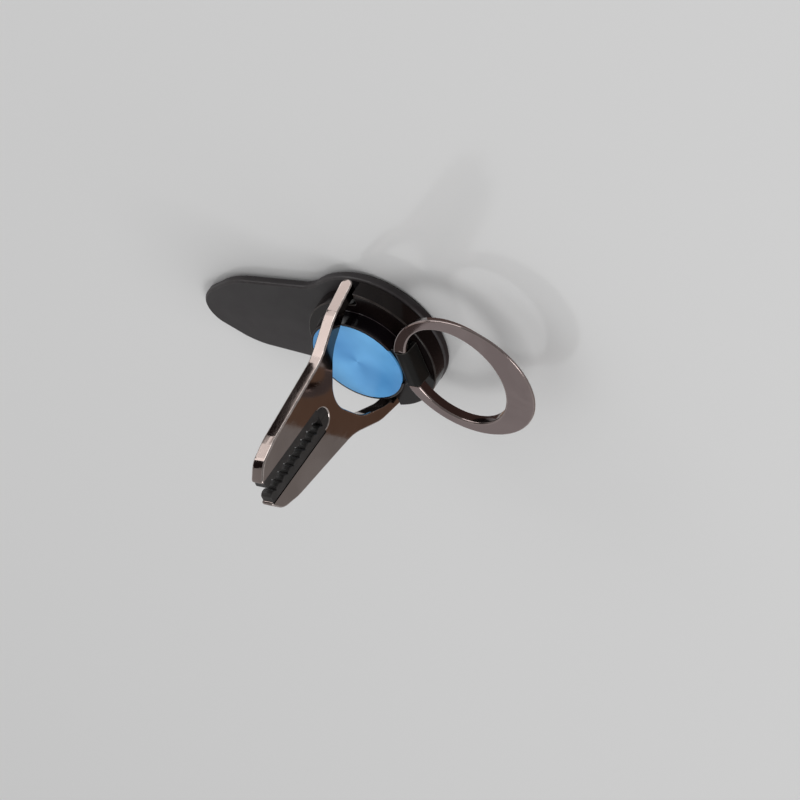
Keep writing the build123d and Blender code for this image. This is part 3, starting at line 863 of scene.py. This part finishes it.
foamLook = {
    "shader": {"Metallic": 0.0, "Specular IOR Level": 0.3},
    "clouds": {"Light": (0.020, 0.019, 0.019, 1), "Dark": (0.012, 0.011, 0.011, 1), "Scale": 400.0},
    "grain": {"Scale": 1500.0, "Smooth": 0.75, "Rough": 0.95},
    # paler edge colour: partly wear, partly a painted edge highlight
    "wearAndHighlightTint": {"Rubbed": (0.03, 0.03, 0.03, 1), "Amount": 0.3},
    "bump": 0.4, "depth": 0.08,
}


def dressNodes(names, material):
    for name in names:
        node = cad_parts[name]
        node.data.materials.clear()
        node.data.materials.append(material)


steelNodes = ["spring_washer", "pivot_rivet", "hub_screws", "strap_screws",
              "clip_pin_upper", "clip_pin_lower"]
nylonNodes = ["slip_washer", "clip_washer_upper", "clip_washer_lower"]
foamNodes = ["adhesive_pad", "disc_tape"]
dressNodes(steelNodes, platedMaterial("plainSteel", steelLook))
dressNodes(nylonNodes, mouldedMaterial("slipNylon", nylonLook))
dressNodes(foamNodes, mouldedMaterial("foamTape", foamLook))
print("inner pieces dressed")


# floor, light and camera placed in metres, cards in millimetres

stage = {
    "floorSize": 3.0, "floorDrop": 0.00002, "floorColour": (0.70, 0.70, 0.70, 1), "floorGloss": 0.12,
    "skyDark": 0.35, "skyBright": 0.75, "darkSide": (0.45, 0.50, 0.74),
    "shadeFrom": 0.3, "shadeTo": 0.9,
}
# painted reflections: the glow cards stand in for softbox highlights and the dark cards for shaded
# surroundings, seen only in reflections
cards = {
    "armGlow": {"corners": [(-11.4, 20), (-1.7, 28), (-31.7, 64.2), (-41.4, 56.2)],
                "tone": (1, 1, 1, 1), "strength": 3.2},
    "kneeGlow": {"corners": [(-29, 52.5), (-20, 62), (-280, 470), (-330, 420)],
                 "tone": (1, 1, 1, 1), "strength": 3.2},
    "sideFlag": {"corners": [(-38, 46, 0.3), (-29.7, 52.9, 0.3), (-68.8, 107.4, 0.3), (-80.7, 97.6, 0.3)],
                 "tone": (0.05, 0.04, 0.04, 1), "strength": 1.0},
    "frontFlag": {"corners": [(4, -40), (70, -40), (70, -17.5), (4, -17.5)],
                  "tone": (0.30, 0.195, 0.14, 1), "strength": 1.0},
    "ringFlag": {"corners": [(14.5, -16), (43, -16), (43, 15), (14.5, 15)],
                 "tone": (0.12, 0.08, 0.07, 1), "strength": 1.0},
    "highFlag": {"corners": [(-405, 762, 256), (-374, 534, 619), (-620, 202, 619), (-707, 495, 256)],
                 "tone": (0.04, 0.03, 0.03, 1), "strength": 1.0},
}
lamps = {
    "sideBox": {"place": (-0.54, 0.76, 0.14), "aim": (0, 0, 0.05), "size": (0.40, 0.30), "power": 1.25},
    "rearBox": {"place": (-0.185, 0.91, 0.14), "aim": (0, 0, 0.05), "size": (0.38, 0.30), "power": 1.2},
    "frontBox": {"place": (0.60, -0.16, 0.74), "aim": (0, 0, 0.0), "size": (0.40, 0.40), "power": 3.0},
}
view = {
    "place": (0.50787, 0.58614, 0.51144), "lens": 201.87, "sensor": 36.0,
    "nearClip": 0.05, "farClip": 20.0,
    "right": (0.83031752, -0.30625304, -0.46559843),
    "down": (0.13395088, -0.70130024, 0.70016794),
    "forward": (-0.54095284, -0.64372902, -0.54127901),
}


def makeStage():
    bm = bmesh.new()
    bmesh.ops.create_grid(bm, x_segments=1, y_segments=1, size=stage["floorSize"] / 2)
    bmesh.ops.translate(bm, verts=bm.verts[:], vec=(0, 0, -stage["floorDrop"]))
    floor = looseObject(bm, "paleFloor")
    look = {"Base Color": stage["floorColour"], "Roughness": stage["floorGloss"]}
    floor.data.materials.append(startMaterial("paleAcrylic", look)[0])


def makeCards():
    # one-sided light and dark cards, seen only in reflections
    for name, card in cards.items():
        bm = bmesh.new()
        bm.faces.new(cornerRun(bm, card["corners"]))
        obj = looseObject(bm, name)
        material, tree, shader = startMaterial(name, {
            "Base Color": (0, 0, 0, 1), "Specular IOR Level": 0.0,
            "Emission Color": card["tone"], "Emission Strength": card["strength"]})
        side = addNode(tree, "ShaderNodeNewGeometry")
        front = addNode(tree, "ShaderNodeMath", {"operation": "SUBTRACT"})
        front.inputs[0].default_value = 1.0
        tree.links.new(side.outputs["Backfacing"], front.inputs[1])
        tree.links.new(front.outputs[0], shader.inputs["Alpha"])
        obj.data.materials.append(material)
        obj.visible_camera = False
        obj.visible_diffuse = False
        obj.visible_shadow = False
        obj.visible_transmission = False


def makeWorld():
    world = bpy.data.worlds.new("softStudio")
    bpy.context.scene.world = world
    world.use_nodes = True
    tree = world.node_tree
    sky = tree.nodes["Background"]
    coords = addNode(tree, "ShaderNodeTexCoord")
    facing = addNode(tree, "ShaderNodeVectorMath", {"operation": "DOT_PRODUCT"})
    facing.inputs[1].default_value = Vector(stage["darkSide"]).normalized()
    shade = addNode(tree, "ShaderNodeMapRange", {"interpolation_type": "SMOOTHSTEP"},
                    {"From Min": stage["shadeFrom"], "From Max": stage["shadeTo"],
                     "To Min": stage["skyBright"], "To Max": stage["skyDark"]})
    tree.links.new(coords.outputs["Generated"], facing.inputs[0])
    tree.links.new(facing.outputs["Value"], shade.inputs["Value"])
    tree.links.new(shade.outputs["Result"], sky.inputs["Color"])


def makeLamps():
    for name, lamp in lamps.items():
        light = bpy.data.lights.new(name, "AREA")
        light.shape = "RECTANGLE"
        light.size, light.size_y = lamp["size"]
        light.energy = lamp["power"]
        obj = bpy.data.objects.new(name, light)
        bpy.context.scene.collection.objects.link(obj)
        obj.location = lamp["place"]
        towards = Vector(lamp["aim"]) - Vector(lamp["place"])
        obj.rotation_euler = towards.to_track_quat("-Z", "Y").to_euler()


def makeCamera():
    lens = bpy.data.cameras.new("photoView")
    lens.lens = view["lens"]
    lens.sensor_width = view["sensor"]
    lens.clip_start = view["nearClip"]
    lens.clip_end = view["farClip"]
    camera = bpy.data.objects.new("photoView", lens)
    bpy.context.scene.collection.objects.link(camera)
    axes = Matrix((view["right"], -Vector(view["down"]), -Vector(view["forward"]))).transposed()
    camera.matrix_world = Matrix.Translation(view["place"]) @ axes.to_4x4()
    bpy.context.scene.camera = camera


makeStage()
makeCards()
makeWorld()
makeLamps()
makeCamera()
bpy.context.scene.view_settings.view_transform = "Standard"
print("stage, light and camera set")

bpy.context.view_layer.update()
